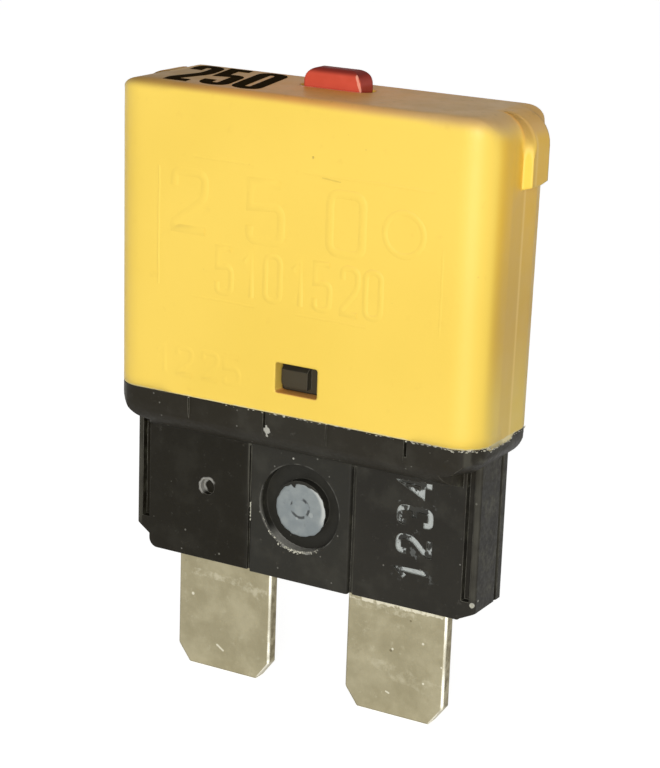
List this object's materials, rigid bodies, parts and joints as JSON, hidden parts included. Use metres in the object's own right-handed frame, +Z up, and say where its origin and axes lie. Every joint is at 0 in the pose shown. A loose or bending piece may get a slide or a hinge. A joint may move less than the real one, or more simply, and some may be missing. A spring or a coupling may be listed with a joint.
{
  "type": "blade circuit breaker",
  "caption": "Plug-in blade circuit breaker: flat yellow cap with a red push-to-reset button, black moulded base with side wings, and two flat plug blades.",
  "frame": {"origin": "middle of the base's underside, the face that lands on the socket, midway between the blades", "axes": "+Z up through the button, against the plugging direction; X runs across the two blades; Y runs through the thin depth, with the front at -Y"},
  "size_m": [0.0202, 0.006, 0.0298],
  "materials": {
    "cap_yellow": "satin moulded, warm yellow",
    "base_black": "satin moulded, with whitish residue in the marks",
    "button_red": "smooth moulded, semi-gloss",
    "blade_metal": "satin tin plating, lightly scratched",
    "contact_silver": "satin silver",
    "bimetal": "satin",
    "rivet_metal": "satin plated",
    "spring_steel": "bright wire"
  },
  "bodies": {
    "housing": {"cap": "cap_yellow", "base": "base_black", "terminal_left": "blade_metal", "terminal_right": "blade_metal", "fixed_contact": "contact_silver", "bimetal_rivet": "rivet_metal", "spring_left": "spring_steel", "spring_right": "spring_steel"},
    "button": {"push_button": "button_red"},
    "contact": {"moving_contact": "contact_silver", "bimetal_strip": "bimetal"}
  },
  "joints": [
    {"name": "button_slide", "type": "slide", "parent": "housing", "child": "button", "axis": [0, 0, 1], "range_m": [0, 0.0024], "deforming": ["spring_left", "spring_right"]},
    {"name": "contact_swing", "type": "hinge", "parent": "housing", "child": "contact", "pos_m": [0.0046, 0.00047, 0.0152], "axis": [0, 0, 1], "range_deg": [0, 5.73], "deforming": ["bimetal_strip"]}
  ],
  "couplings": [
    {"joint": "contact_swing", "follows": "button_slide", "rad_per_m": 41.667}
  ]
}
